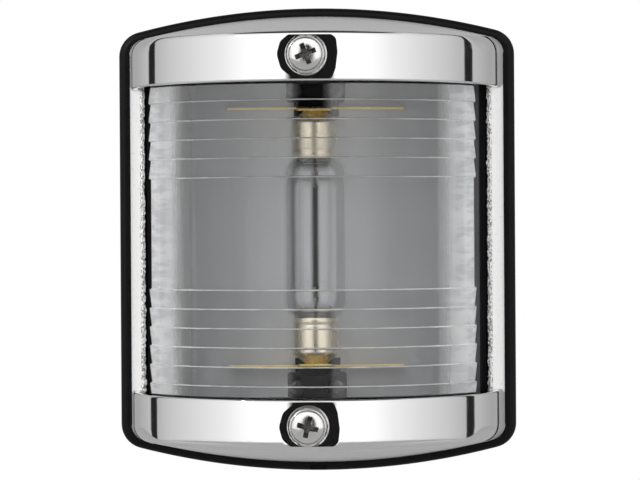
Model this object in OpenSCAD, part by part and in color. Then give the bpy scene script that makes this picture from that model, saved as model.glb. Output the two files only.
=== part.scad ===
// Boat stern navigation light: a festoon lamp behind a ribbed clear lens, in a polished steel cover.
// Frame: +X to the right, +Z up, -Y out of the mounting wall. The origin is the centre of the mounting face.
// Depths are counted forward from the mounting face, so a depth d is y = -d.

/* [Base] */
// Width of the base
base_w = 72.8; // [68:0.2:80]
// Height of the base between its two arched ends
base_h = 85; // [80:0.5:92]
// Radius of the arched top and bottom edges
arch_r = 132; // [110:1:180]
// Radius of the base's corners
base_corner = 4.6; // [2:0.2:7]
// Depth of the flange that the cover stands on
flange_d = 8; // [7:0.25:10]
// Thickness of the rubber mounting gasket
gasket_t = 1.2; // [0.8:0.1:1.6]
// Depth of the pocket floor inside the base
floor_d = 3.7; // [3.2:0.1:4]
// Diameter of each mounting hole
mount_hole = 4.3; // [3:0.1:5]
// Sideways distance of a mounting hole from the centre
mount_x = 20; // [16:0.5:23]
// Vertical distance of a mounting hole from the centre
mount_z = 33.8; // [32:0.2:34]

/* [Cover] */
// Width of the cover where it meets the base
cover_w = 68.6; // [66:0.2:69]
// Height of the cover where it meets the base
cover_h = 81.8; // [78:0.2:82]
// Thickness of the steel
steel_t = 1.1; // [0.8:0.1:1.3]
// Radius of the cover's rounded front about the lamp
dome_r = 33.2; // [33:0.1:33.8]
// Inward slope of the cover's top and bottom, in degrees
draft = 7; // [5:0.5:8]
// Height of the window that the lens fills
window_h = 54.9; // [50:0.1:56]
// Height of the low side rims above the flange
rim_rise = 4; // [3.6:0.1:4.4]
// Vertical distance of a cover screw from the centre
screw_z = 32.1; // [31.8:0.1:32.4]
// Diameter of the flat seat round a cover screw
seat_dia = 10.6; // [9:0.1:11]
// Depth of that seat below the cover's front
seat_deep = 2; // [1.6:0.1:2.2]

/* [Lens] */
// Depth of the lamp's axis, which is also the centre of the lens's curve
lamp_d = 14; // [13.8:0.1:14.4]
// Inner radius of the lens
lens_ri = 28.6; // [28:0.1:28.8]
// Wall of the lens at its smooth band
lens_wall = 2.6; // [2:0.1:2.6]
// Height of a prism rib above the wall
rib_rise = 0.4; // [0.3:0.1:0.7]
// Vertical distance from one prism rib to the next
rib_pitch = 3.34; // [3:0.01:3.5]
// Half the height of the smooth band
band_half = 9.7; // [8:0.1:11]
// Number of ribs above the band, and below it
ribs = 6; // [3:1:6]
// Height of the optical centre above the base's centre
optic_z = 1.2; // [0:0.1:1.4]
// Half the angle of the curved part, in degrees
sweep = 66.5; // [60:0.1:67]

/* [Lamp] */
// Length of the festoon lamp over its two points
lamp_len = 43.5; // [43:0.5:44]
// Height of the lamp's middle above the base's centre
lamp_z = 0.4; // [0:0.1:1.4]
// Diameter of the lamp's glass
bulb_dia = 11.6; // [10:0.1:12]
// Diameter of a lamp cap
cap_dia = 8.2; // [7:0.1:8.5]
// Diameter of the cable that the grommet takes
cable_dia = 5; // [4:0.1:6]

/* [Hidden] */
$fn = 96;
eps = 0.01;
gap = 0.3;                               // air between pieces that don't touch
tall = 100;                              // taller than the whole light
half_window = window_h / 2;

// lens
lens_back = 5;                           // depth of the lens's rear edge
lens_top = 28.9;                         // outer face of the lens's end walls
end_wall = 1.8;
corner_x = lens_ri * sin(sweep);
corner_d = lamp_d + lens_ri * cos(sweep);
seal_in = corner_x - 0.2;
seal_out = corner_x + lens_wall + 1.1;
seal_d = 3.1;                            // bottom of the seal's groove

// cover and screws
seat_d = lamp_d + dome_r - seat_deep;    // face of the screw seat
seat_lip = 0.5;
front_half_h = 35.9;                     // top of the seat, just under the cover's front edge
seal_t = 0.4;
notch_x = seat_dia / 2 + 1.5;
screw_r = 1.75;
head_dia = 7.3;
head_h = 2.2;
shank_len = 15;
post_r = 2.8;
post_end = seat_d - steel_t - gap;
insert_r = 2.3;
insert_len = 9;

// lamp
cone_h = 2.15;
cone_r = 3.4;
tip_r = 1;
cap_r = cap_dia / 2;
cap_end = lamp_len / 2 - cone_h;         // end of the cap's straight part
cap_len = 6.9;
cap_start = cap_end - cap_len;
bulb_r = bulb_dia / 2;
filament_half = 9;

// contacts: each is one blade that stands across the light, with a hole for the lamp's point
blade_t = 0.5;
blade_up = 1.45;                         // height of the blade above the cap's straight part
blade_z = cap_end + blade_up;            // lamp side of the blade, from the lamp's middle
blade_hole = cone_r - (cone_r - tip_r) * blade_up / cone_h + 0.05;
blade_back = 8.6;
blade_front = lamp_d + 4.2;
wing_x = 16.5;
wing_d = 2.6;
tongue_x = 3.15;
pivot_d = 10.4;                          // where the blade starts to bend
flex = 9;                                // relief behind the blade, in degrees

// reflector channel and its holders
sheet_t = 0.8;
channel_d = 7.6;                         // front face of the channel's floor
channel_x = 24.8;
channel_z = 26.8;
wing_top = lamp_d + (channel_x - sheet_t) / tan(67.5);
holder_top = lens_top - end_wall - 0.15;
slot_x = 4.2;
foot_half = 5.4;
foot_screw_x = 3.7;
foot_screw_z = holder_top - 2.05;
foot_front = 10.8;
foot_screw_r = 1;

// ---------- shared shapes ----------

// Extrudes a front-view outline (x, z) from depth d0 to depth d1.
module forward(d0, d1) {
    translate([0, -d0, 0]) rotate([90, 0, 0]) linear_extrude(d1 - d0) children();
}

// Extrudes a plan outline (x, depth) from height z0 to height z1.
module upward(z0, z1) {
    translate([0, 0, z1]) rotate([180, 0, 0]) linear_extrude(z1 - z0) children();
}

// Cylinder along the depth, centred on (x, z).
module rod(x, z, r, d0, d1) {
    translate([x, -d0, z]) rotate([90, 0, 0]) cylinder(h = d1 - d0, r = r);
}

// Rectangle with arched ends: sides at w/2, ends that rise to h/2, and round corners.
module arched_outline(w, h, r, corner) {
    arch_c = r - h / 2;                          // distance of an arch's centre past the middle
    corner_at = w / 2 - corner;
    corner_up = sqrt(pow(r - corner, 2) - pow(corner_at, 2)) - arch_c;
    wedge = corner_at / (corner_up + arch_c);    // half width of an arch's sector per unit of its height
    square([w, 2 * corner_up], center = true);
    for (side = [-1, 1])
        mirror([0, side < 0 ? 1 : 0]) {
            for (x = [-corner_at, corner_at]) translate([x, corner_up]) circle(corner);
            intersection() {
                translate([0, -arch_c]) circle(r, $fn = 360);
                polygon([[-wedge * arch_c, 0], [wedge * arch_c, 0], [wedge * (arch_c + h), h], [-wedge * (arch_c + h), h]]);
            }
        }
}

// Space inside the cover's upright surface, drawn in by inset: straight sides that run into a round front.
module dome_space(inset) {
    r = dome_r - inset;
    rim = cover_w / 2 - inset;
    intersection() {
        translate([0, -lamp_d, -tall / 2]) rotate([0, 0, 90]) cylinder(h = tall, r = r, $fn = 180);
        translate([-tall / 2, -lamp_d - tall, -tall / 2]) cube([tall, tall, tall]);
    }
    upward(-tall / 2, tall / 2) polygon([[-rim, flange_d - 1], [rim, flange_d - 1], [rim, flange_d], [r, lamp_d],
        [-r, lamp_d], [-rim, flange_d]]);
}

// Half of the space under a sloping arched end: a wide cone along the depth.
module sloped_end(inset) {
    apex = cover_h / 2 - inset / cos(draft);
    depth = 50;
    translate([0, -flange_d + 1, apex - arch_r]) rotate([90, 0, 0])
        cylinder(h = depth, r1 = arch_r + tan(draft), r2 = arch_r - (depth - 1) * tan(draft), $fn = 360);
}

// Everything inside the cover's surface, drawn in by inset, from the flange forward.
module cover_envelope(inset) {
    slack = 0.3;
    intersection() {
        forward(flange_d, flange_d + 45)
            arched_outline(cover_w + slack - 2 * inset, cover_h + slack - 2 * inset, arch_r - inset, 3.4);
        sloped_end(inset);
        mirror([0, 0, 1]) sloped_end(inset);
        dome_space(inset);
    }
}

// ---------- base ----------

module mounting_gasket() {
    color("#1b1b1c") difference() {
        forward(0, gasket_t) arched_outline(base_w - 0.6, base_h - 0.6, arch_r - 0.3, base_corner - 0.3);
        mounting_holes(mount_hole / 2, -1, gasket_t + 1);
        rod(0, 0, 5.6, -1, gasket_t + 1);
    }
}

module mounting_holes(r, d0, d1) {
    rod(-mount_x, mount_z, r, d0, d1);
    rod(mount_x, -mount_z, r, d0, d1);
}

// Side rail that fills the space between the lens and the cover's low rim.
module side_rail() {
    inner = seal_out;
    upward(-half_window - 1.6, half_window + 1.6) polygon([
        [inner, flange_d - 1], [inner, flange_d + rim_rise - 0.6], [30.95, flange_d + rim_rise - 0.6],
        [32.5, flange_d + 1], [32.7, flange_d - 1]]);
}

// Tall posts for the cover screws, each with a thin gusset on either side.
module cover_posts() {
    gusset_t = 1.6;
    color("#1f1f20") for (m = [0, 1]) mirror([0, 0, m]) difference() {
        union() {
            rod(0, screw_z, post_r, flange_d, post_end);
            upward(screw_z - gusset_t / 2, screw_z + gusset_t / 2)
                polygon([[-9, flange_d], [9, flange_d], [9, flange_d + 2], [2, flange_d + 20],
                    [-2, flange_d + 20], [-9, flange_d + 2]]);
        }
        rod(0, screw_z, insert_r, post_end - insert_len, post_end + 1);
        rod(0, screw_z, screw_r + 0.1, post_end - shank_len - 1, post_end);
    }
}

module base() {
    pocket_x = seal_out;
    pocket_z = lens_top + 0.35;
    drain_w = 3;
    color("#1f1f20") difference() {
        union() {
            difference() {
                forward(gasket_t, flange_d) arched_outline(base_w, base_h, arch_r, base_corner);
                forward(floor_d, flange_d + 1) square([2 * pocket_x, 2 * pocket_z], center = true);
            }
            for (m = [0, 1]) mirror([m, 0, 0]) side_rail();
            for (m = [0, 1]) mirror([0, 0, m])
                for (x = [-foot_screw_x, foot_screw_x])
                    rod(x, foot_screw_z, 1.8, floor_d - 0.5, channel_d - sheet_t);
            for (x = [-19, 19]) rod(x, 0, 2.5, floor_d - 0.5, channel_d - sheet_t);
        }
        forward(seal_d, floor_d + 1) difference() {
            square([2 * seal_out, 2 * pocket_z], center = true);
            square([2 * seal_in, 2 * (lens_top - end_wall - 0.2)], center = true);
        }
        mounting_holes(mount_hole / 2, 0, flange_d + 1);
        mounting_holes(4, flange_d - 3, flange_d + 1);
        rod(0, 0, 4.2, 0, floor_d + 1);
        for (x = [-foot_screw_x, foot_screw_x], z = [-foot_screw_z, foot_screw_z])
            rod(x, z, foot_screw_r, floor_d - 1, channel_d);
        translate([-drain_w / 2, -flange_d - 1, -base_h / 2 - 1]) cube([drain_w, 2, 2]);
    }
}

// Rubber grommet in the middle of the base: a lip on each side of the floor and a bore for the cable.
module cable_grommet() {
    lip = 1;
    color("#262627") difference() {
        union() {
            rod(0, 0, 4.2, gasket_t - 0.9, floor_d);
            rod(0, 0, 5.4, gasket_t - 0.9, gasket_t);
            rod(0, 0, 5.4, floor_d, floor_d + lip);
        }
        rod(0, 0, cable_dia / 2, -1, floor_d + lip + 1);
    }
}

module post_inserts() {
    color("#c9a24a") for (z = [-screw_z, screw_z]) difference() {
        rod(0, z, insert_r, post_end - insert_len, post_end);
        rod(0, z, screw_r + 0.05, post_end - insert_len - 1, post_end + 1);
    }
}

module lens_seal() {
    color("#666668") forward(seal_d, lens_back) difference() {
        square([2 * seal_out - 0.2, 2 * lens_top + 0.4], center = true);
        square([2 * seal_in + 0.2, 2 * (lens_top - end_wall) - 0.2], center = true);
    }
}

// ---------- inside ----------

// Satin sheet channel: it backs the lamp, and its sides cut the light off at 67.5 degrees.
module reflector_channel() {
    color("#8b8e92") difference() {
        upward(-channel_z, channel_z) difference() {
            translate([-channel_x, channel_d - sheet_t]) square([2 * channel_x, wing_top - channel_d + sheet_t]);
            translate([-channel_x + sheet_t, channel_d]) square([2 * (channel_x - sheet_t), tall]);
        }
        for (m = [0, 1]) mirror([0, 0, m]) {
            for (x = [-foot_screw_x, foot_screw_x]) rod(x, foot_screw_z, foot_screw_r + 0.2, 0, channel_d + 1);
        }
        for (side = [-1, 1])
            forward(channel_d - 2, channel_d + 1)
                translate([-slot_x, lamp_z + side * (blade_z + blade_t / 2) - 1.7]) square([2 * slot_x, 3.4]);
    }
}

// Black block that carries one contact. Its lamp side slopes away so that the blade can bend.
module contact_holder(side) {
    inner = lamp_z * side + blade_z + blade_t + 0.06;   // from the base's centre
    outer = holder_top;
    block_front = lamp_d + 5.6;
    relief = (block_front - pivot_d) * tan(flex);
    color("#141415") mirror([0, 0, side < 0 ? 1 : 0]) difference() {
        union() {
            translate([-tongue_x, 0, 0]) rotate([90, 0, 90]) linear_extrude(2 * tongue_x)
                polygon([[-channel_d, inner], [-pivot_d, inner], [-block_front, min(inner + relief, outer - 1)],
                    [-block_front, outer], [-channel_d, outer]]);
            forward(channel_d, foot_front) translate([-foot_half, inner + 0.7])
                square([2 * foot_half, outer - inner - 0.7]);
        }
        for (x = [-foot_screw_x, foot_screw_x]) {
            rod(x, foot_screw_z, foot_screw_r + 0.2, 0, foot_front + 10);
            rod(x, foot_screw_z, 1.85, foot_front - 1.4, foot_front + 10);
        }
    }
}

module holder_screws() {
    color("#b9bbbd") for (x = [-foot_screw_x, foot_screw_x], z = [-foot_screw_z, foot_screw_z]) {
        rod(x, z, foot_screw_r - 0.05, floor_d - 0.5, foot_front - 1.3);
        rod(x, z, 1.7, foot_front - 1.4, foot_front);
    }
}

// Brass T-shaped blade across the light: wings, a tongue with a round hole for the lamp's point, and a rear tag.
module contact(side) {
    z0 = lamp_z * side + blade_z;
    color("#d0a03c") mirror([0, 0, side < 0 ? 1 : 0]) upward(z0, z0 + blade_t) difference() {
        union() {
            translate([-wing_x, blade_back]) square([2 * wing_x, wing_d]);
            translate([-tongue_x, blade_back]) square([2 * tongue_x, blade_front - blade_back]);
            translate([-2.2, floor_d + 1]) square([4.4, blade_back - floor_d]);
        }
        translate([0, lamp_d]) circle(blade_hole);
    }
}

// Places a turned lamp piece on the lamp's axis.
module on_lamp() {
    translate([0, -lamp_d, lamp_z]) children();
}

module lamp_glass() {
    wall = 0.8;
    neck = 3.5;
    color("#dfe6ea", 0.35) on_lamp() rotate_extrude() polygon([
        [neck - wall, cap_end - 2], [neck, cap_end - 2], [neck, cap_start - 0.2], [bulb_r - 1, cap_start - 1.4],
        [bulb_r, cap_start - 3], [bulb_r, 3 - cap_start], [bulb_r - 1, 1.4 - cap_start],
        [neck, 0.2 - cap_start], [neck, 2 - cap_end], [neck - wall, 2 - cap_end],
        [neck - wall, 0.2 - cap_start], [bulb_r - 1.6, 2 - cap_start], [bulb_r - wall, 3.4 - cap_start],
        [bulb_r - wall, cap_start - 3.4], [bulb_r - 1.6, cap_start - 2], [neck - wall, cap_start - 0.2]]);
}

module lamp_cap(side) {
    shell = 0.35;
    color("#cfc8ba") on_lamp() mirror([0, 0, side < 0 ? 1 : 0]) rotate_extrude() polygon([
        [0, cap_end - 0.8], [cap_r - shell, cap_end - 0.8], [cap_r - shell, cap_start], [cap_r, cap_start],
        [cap_r, cap_end - 0.3], [cone_r, cap_end], [tip_r, cap_end + cone_h], [0, cap_end + cone_h]]);
}

module lamp_filament() {
    color("#6d6a66") on_lamp() cylinder(h = 2 * filament_half, r = 0.45, center = true);
}

module lamp_leads() {
    color("#8f8a82") on_lamp() for (side = [-1, 1]) mirror([0, 0, side < 0 ? 1 : 0])
        translate([0, 0, filament_half]) cylinder(h = cap_end - 0.8 - filament_half, r = 0.3);
}

// Small glass beads that hold the lead wires inside the necks.
module lamp_beads() {
    color("#dfe6ea", 0.5) on_lamp() for (side = [-1, 1]) mirror([0, 0, side < 0 ? 1 : 0])
        translate([0, 0, cap_start + 0.6]) difference() {
            cylinder(h = 2.4, r = 1.5);
            translate([0, 0, -1]) cylinder(h = 5, r = 0.3);
        }
}

// ---------- lens ----------

// Wall section of the lens: u is the distance out from the inner face, against height.
// Above the band a rib is thickest at its lower edge, and below the band at its upper edge.
function rib_edge(side) = [
    for (i = [0 : ribs - 1], end = [0, 1])
        [lens_wall + (end == 0 ? rib_rise : 0), optic_z + side * (band_half + (i + end) * rib_pitch)]
];
function limit(points) = [for (p = points) [p[0], max(-lens_top, min(lens_top, p[1]))]];
function reversed(list) = [for (i = [len(list) - 1 : -1 : 0]) list[i]];
function wall_section(offset_u) = [
    for (p = concat(
        [[0, -lens_top], [lens_wall, -lens_top]],
        limit(reversed(rib_edge(-1))),
        [[lens_wall, optic_z - band_half], [lens_wall, optic_z + band_half]],
        limit(rib_edge(1)),
        [[lens_wall, lens_top], [0, lens_top]]
    )) [p[0] + offset_u, p[1]]
];

// The section swept through an angle about a vertical axis at (x, d), from a bearing off straight ahead.
module swept(x, d, r, from, angle) {
    translate([x, -d, 0]) rotate([0, 0, from - 90]) rotate_extrude(angle = angle) polygon(wall_section(r));
}

// Straight side wall, with a small chamfer inside the corner where it meets the curved front.
module lens_side() {
    leg = 1;
    skin = 0.02;
    swept(corner_x, corner_d, 0, 90 - sweep, sweep - 90);
    translate([0, -lens_back, 0]) rotate([90, 0, 0]) linear_extrude(corner_d - lens_back)
        polygon(wall_section(corner_x));
    upward(-lens_top, lens_top) translate([corner_x, corner_d]) polygon([
        [-leg * cos(sweep), leg * sin(sweep)],
        [leg * sin(sweep) - leg * cos(sweep), leg * cos(sweep) + leg * sin(sweep)],
        [leg, -leg],
        [skin, -leg]]);
}

module lens_end_plan() {
    intersection() {
        translate([0, lamp_d]) circle(lens_ri + 1, $fn = 180);
        polygon([[0, lamp_d], [-tall * sin(sweep), lamp_d + tall * cos(sweep)], [0, lamp_d + tall],
            [tall * sin(sweep), lamp_d + tall * cos(sweep)]]);
    }
    polygon([[-corner_x - 1, lens_back], [corner_x + 1, lens_back], [corner_x + 1, corner_d], [corner_x, corner_d + 0.5],
        [0, lamp_d + 20], [-corner_x, corner_d + 0.5], [-corner_x - 1, corner_d]]);
}

// The lens has a flat notch behind each screw seat.
module lens() {
    color("#e9eff2", 0.35) difference() {
        union() {
            swept(0, lamp_d, lens_ri, sweep, -2 * sweep);
            for (m = [0, 1]) mirror([m, 0, 0]) lens_side();
            for (m = [0, 1]) mirror([0, 0, m]) upward(lens_top - end_wall, lens_top) lens_end_plan();
        }
        for (m = [0, 1]) mirror([0, 0, m])
            forward(seat_d - steel_t - 0.2, tall) translate([-notch_x, half_window - 0.2])
                square([2 * notch_x, lens_top]);
    }
}

// ---------- cover ----------

// Low rim that joins the cover's two ends along one side.
module low_rim() {
    rim = cover_w / 2;
    upward(-half_window - 0.6, half_window + 0.6) polygon([
        [rim, flange_d], [rim - 0.4, flange_d + 1.4], [rim - 2.2, flange_d + rim_rise],
        [rim - 3.05, flange_d + rim_rise], [rim - 1.35, flange_d + 1.3], [rim - steel_t, flange_d]]);
}

module seat_zone() {
    translate([-tall / 2, half_window + seat_lip]) square([tall, front_half_h - half_window - seat_lip]);
}

module cover_end() {
    difference() {
        union() {
            difference() {
                cover_envelope(0);
                cover_envelope(steel_t);
            }
            intersection() {
                rod(0, screw_z, seat_dia / 2 + 1.1, seat_d - steel_t, lamp_d + dome_r);
                cover_envelope(0);
            }
        }
        intersection() {
            rod(0, screw_z, seat_dia / 2, seat_d, tall);
            forward(seat_d - 1, tall) seat_zone();
        }
        rod(0, screw_z, screw_r + 0.25, 0, tall);
        translate([-tall / 2, -tall, -tall + half_window]) cube([tall, 2 * tall, tall]);
    }
}

module cover() {
    color("#d5d6d6") {
        for (m = [0, 1]) mirror([0, 0, m]) cover_end();
        for (m = [0, 1]) mirror([m, 0, 0]) low_rim();
    }
}

module screw_seal(side) {
    color("#2c2c2d") difference() {
        rod(0, side * screw_z, head_dia / 2 - 0.3, seat_d, seat_d + seal_t);
        rod(0, side * screw_z, screw_r + 0.1, 0, tall);
    }
}

// Pan-head screw with a cross recess, turned by an angle as it was left when tightened.
module cover_screw(side, turn) {
    head_d = seat_d + seal_t;
    edge_r = 1.1;
    recess = 1.3;
    color("#c4c6c7") translate([0, 0, side * screw_z]) difference() {
        union() {
            rod(0, 0, screw_r, head_d - shank_len, head_d + 0.2);
            translate([0, -head_d, 0]) rotate([90, 0, 0]) rotate_extrude() {
                square([head_dia / 2 - edge_r, head_h]);
                square([head_dia / 2, head_h - edge_r]);
                translate([head_dia / 2 - edge_r, head_h - edge_r]) circle(edge_r);
            }
        }
        translate([0, -head_d - head_h, 0]) rotate([0, turn, 0]) {
            for (a = [0, 90]) rotate([0, a, 0]) cube([4.1, 2 * recess, 0.95], center = true);
            rotate([-90, 0, 0]) cylinder(h = 1.8, r1 = 1.2, r2 = 0.3);
        }
    }
}

mounting_gasket();
base();
cover_posts();
cable_grommet();
post_inserts();
lens_seal();
reflector_channel();
contact_holder(1);  // upper_contact_holder
contact_holder(-1);  // lower_contact_holder
holder_screws();
contact(1);  // upper_contact
contact(-1);  // lower_contact
lamp_glass();
lamp_cap(1);  // upper_lamp_cap
lamp_cap(-1);  // lower_lamp_cap
lamp_filament();
lamp_leads();
lamp_beads();
lens();
cover();
screw_seal(1);  // upper_screw_seal
screw_seal(-1);  // lower_screw_seal
cover_screw(1, -21);  // upper_cover_screw
cover_screw(-1, 14);  // lower_cover_screw
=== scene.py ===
"""Stern navigation light: detailed meshes, materials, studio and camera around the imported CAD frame.

Points are written (x, d, z) in millimetres, where d is the depth in front of the wall, so y = -d.
A side of 1 or -1 means upper or lower for pieces at the ends, and right or left for the rims.
"""
import math

import bmesh
import bpy
from mathutils import Matrix, Vector, noise


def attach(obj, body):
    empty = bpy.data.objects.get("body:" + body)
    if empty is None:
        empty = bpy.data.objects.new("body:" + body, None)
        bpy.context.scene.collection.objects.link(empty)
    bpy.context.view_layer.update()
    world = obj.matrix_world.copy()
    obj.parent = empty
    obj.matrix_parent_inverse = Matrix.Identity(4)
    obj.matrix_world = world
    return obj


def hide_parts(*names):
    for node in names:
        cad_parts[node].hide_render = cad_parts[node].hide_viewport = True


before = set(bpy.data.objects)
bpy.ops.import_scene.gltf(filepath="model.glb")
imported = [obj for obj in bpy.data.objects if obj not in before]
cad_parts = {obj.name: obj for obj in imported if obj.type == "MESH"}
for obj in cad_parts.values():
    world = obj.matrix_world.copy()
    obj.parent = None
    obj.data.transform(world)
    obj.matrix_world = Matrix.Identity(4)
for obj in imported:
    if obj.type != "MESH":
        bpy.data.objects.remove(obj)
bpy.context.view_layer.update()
MM = 0.001
MERGE = 1e-6  # metres between points that count as one
POLE = 0.001  # radius where a turned profile meets its axis

# ---------------------------------------------------------------- sizes, as in the CAD source
# _X, _D and _Z are places or half sizes across, deep and high. _R, _W, _H and _T are radius, width, height
# and thickness.
# Base plate, with the pocket under the lamp, the seal's groove and the mounting holes
BASE_W, BASE_H, ARCH_R, BASE_CORNER = 72.8, 85.0, 132.0, 4.6
GASKET_T, FLANGE_D, FLOOR_D, GROOVE_D = 1.2, 8.0, 3.7, 3.1
POCKET_X, POCKET_Z, SEAL_IN, RAIL_Z = 29.93, 29.25, 26.03, 29.05
MOUNT_X, MOUNT_Z, MOUNT_R, MOUNT_HEAD_R = 20.0, 33.8, 2.15, 4.0
MOUNTS = ((-MOUNT_X, MOUNT_Z), (MOUNT_X, -MOUNT_Z))
CABLE_R, GROMMET_R, GROMMET_NECK = 2.5, 5.4, 4.2
# Cover, its window and the seats of its screws
RIM_X, COVER_H, STEEL, DOME_R, DRAFT = 34.3, 81.8, 1.1, 33.2, math.radians(7)
WINDOW, LIP_OUT, LIP_IN, RIM_Z = 27.45, 0.4, 0.25, 28.05
SCREW_Z, SEAT_D, SEAT_TOP, SEAT_LOW = 32.1, 45.2, 35.45, 27.9
HEAD_D, HEAD_R, HEAD_H, SHANK_R, SHANK_LEN = 45.6, 3.65, 2.2, 1.75, 15.0
# Lens, with ribs above and below a plain band
LAMP_D, LENS_R, LENS_WALL, RIB_RISE, RIB_PITCH = 14.0, 28.6, 2.6, 0.4, 3.34
BAND_HALF, RIBS, OPTIC_Z, SWEEP = 9.7, 6, 1.2, math.radians(66.5)
LENS_TOP, END_WALL, LENS_BACK = 28.9, 1.8, 5.0
# Festoon lamp, with heights from its middle
LAMP_Z, BULB_R, BULB_WALL, NECK_R, CAP_R = 0.4, 5.8, 0.5, 3.5, 4.1
CAP_START, CAP_END, CONE_R, TIP_R, TIP_Z = 12.7, 19.6, 3.4, 1.0, 21.75
FILAMENT_HALF, COIL_R = 9.0, 0.36
# Contacts, reflector channel, contact holders and their screws
BLADE_Z, BLADE_T, BLADE_HOLE, WING_X, TONGUE_X = 21.05, 0.5, 1.83, 16.5, 3.15
CHANNEL_D, CHANNEL_X, CHANNEL_Z, SHEET, WING_TOP = 7.6, 24.8, 26.8, 0.8, 23.94
HOLDER_TOP, FOOT_HALF, FOOT_X, FOOT_Z, FOOT_FRONT = 26.95, 5.4, 3.7, 24.9, 10.8
FOOT_BORE, FOOT_HEAD_H = 1.2, 1.4


# ---------------------------------------------------------------- outlines
def span(half):
    return -half, half


def rect(u, v):
    """Corners of the rectangle between the two numbers of u and the two of v."""
    return [(u[0], v[0]), (u[1], v[0]), (u[1], v[1]), (u[0], v[1])]


def circle(cx, cz, r, n=48):
    turns = [2 * math.pi * k / n for k in range(n)]
    return [(cx + r * math.cos(a), cz + r * math.sin(a)) for a in turns]


def arc(cx, cy, r, a0, a1, n):
    turns = [a0 + (a1 - a0) * k / n for k in range(n + 1)]
    return [(cx + r * math.cos(a), cy + r * math.sin(a)) for a in turns]


def rounded(points, radii, n=5):
    """A closed outline with its corners rounded by the given radii, or one radius for all."""
    out = []
    count = len(points)
    for i, p in enumerate(points):
        r = radii if isinstance(radii, (int, float)) else radii[i]
        p = Vector(p)
        if r <= 0:
            out.append(tuple(p))
            continue
        a = (Vector(points[i - 1]) - p).normalized()
        b = (Vector(points[(i + 1) % count]) - p).normalized()
        half = a.angle(b) / 2
        reach = r / math.tan(half)
        centre = p + (a + b).normalized() * (r / math.sin(half))
        u, v = p + a * reach - centre, p + b * reach - centre
        turn = u.angle(v)
        for k in range(n + 1):
            out.append(tuple(centre + between(u, v, turn, k / n)))
    return out


def between(u, v, turn, t):
    """The vector that has turned from u towards v, which are turn apart, by the share t."""
    return u * math.sin((1 - t) * turn) / math.sin(turn) + v * math.sin(t * turn) / math.sin(turn)


def rounded_edge(back, front, r_back, r_front, n=5):
    """Edge profile as (inset, depth), round both edges from the back face to the front face."""
    quarter = math.pi / 2
    return (arc(r_back, back + r_back, r_back, -quarter, -2 * quarter, n)
            + arc(r_front, front - r_front, r_front, 2 * quarter, quarter, n))


def edge_rings(outline, profile):
    """Rings of an outline at each (inset, depth) of an edge profile."""
    return [[(x, d, z) for x, z in outline(inset)] for inset, d in profile]


def arched(inset, w, h, r, corner):
    """Outline with arched ends and round corners, always with the same number of points."""
    n_corner, n_arch, least = 10, 48, 0.05
    cx, rc = w / 2 - corner, max(corner - inset, least)
    drop = r - h / 2
    cz = math.sqrt((r - corner) ** 2 - cx ** 2) - drop
    lean = math.atan2(cz + drop, cx)
    half = arc(cx, cz, rc, 0, lean, n_corner)
    half += arc(0, -drop, r - inset, lean, math.pi - lean, n_arch)[1:-1]
    half += arc(-cx, cz, rc, math.pi - lean, math.pi, n_corner)
    return half + [(-x, -z) for x, z in half]


# ---------------------------------------------------------------- meshes
def link_object(name, data):
    obj = bpy.data.objects.new(name, data)
    bpy.context.scene.collection.objects.link(obj)
    return obj


def mesh_object(name, verts, faces):
    """A closed mesh from points in (x, d, z), with its faces turned outwards."""
    mesh = bpy.data.meshes.new(name)
    mesh.from_pydata([Vector((x * MM, -d * MM, z * MM)) for x, d, z in verts], [], faces)
    bm = bmesh.new()
    bm.from_mesh(mesh)
    bmesh.ops.remove_doubles(bm, verts=bm.verts, dist=MERGE)
    bmesh.ops.dissolve_degenerate(bm, dist=MERGE / 100, edges=bm.edges)
    bmesh.ops.recalc_face_normals(bm, faces=bm.faces)
    bm.to_mesh(mesh)
    bm.free()
    return link_object(name, mesh)


def grid_faces(rows, cols, start=0, wrap=False, close=False):
    """Quads over rows of points that are numbered from start.

    wrap joins each row's end to its start, and close joins the last row to the first.
    """
    faces = []
    for i in range(rows if close else rows - 1):
        this, following = start + i * cols, start + (i + 1) % rows * cols
        for j in range(cols if wrap else cols - 1):
            k = (j + 1) % cols
            faces.append((this + j, this + k, following + k, following + j))
    return faces


def loft(name, rings):
    """Closed rings of equal length joined in order, with a flat cap at both ends."""
    cols = len(rings[0])
    verts = [p for ring in rings for p in ring]
    faces = grid_faces(len(rings), cols, wrap=True)
    faces += [tuple(range(cols)), tuple(range(len(verts) - cols, len(verts)))]
    return mesh_object(name, verts, faces)


def revolve(name, profile, centre, axis="z", steps=64):
    """A closed profile of (radius, height) turned about an upright axis, or about one along the depth."""
    x, d, z = centre
    verts = []
    for r, h in profile:
        for u, v in circle(0, 0, r, steps):
            verts.append((x + u, d + v, z + h) if axis == "z" else (x + u, d + h, z + v))
    return mesh_object(name, verts, grid_faces(len(profile), steps, wrap=True, close=True))


def tube(name, points, r, sides):
    """A closed round tube along points."""
    rings = []
    pts = [Vector(p) for p in points]
    for i, p in enumerate(pts):
        along = (pts[min(i + 1, len(pts) - 1)] - pts[max(i - 1, 0)]).normalized()
        u = along.cross(Vector((0, 1, 0))).normalized()
        v = along.cross(u)
        rings.append([tuple(p + u * a + v * b) for a, b in circle(0, 0, r, sides)])
    return loft(name, rings)


def prism(name, outline, lo, hi, axis):
    """An outline extruded along the depth (outline in x, z), the height (x, d) or the width (d, z)."""
    place = {"d": lambda p, t: (p[0], t, p[1]), "z": lambda p, t: (p[0], p[1], t),
             "x": lambda p, t: (t, p[0], p[1])}[axis]
    return loft(name, [[place(p, t) for p in outline] for t in (lo, hi)])


def block(x, d, z):
    """A box to cut or add, between the two numbers given for each direction."""
    return prism("tool", rect(x, z), *d, "d")


def peg(x, z, r, d, n=48):
    """A round bar along the depth, to cut or add."""
    return prism("tool", circle(x, z, r, n), *d, "d")


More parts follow.
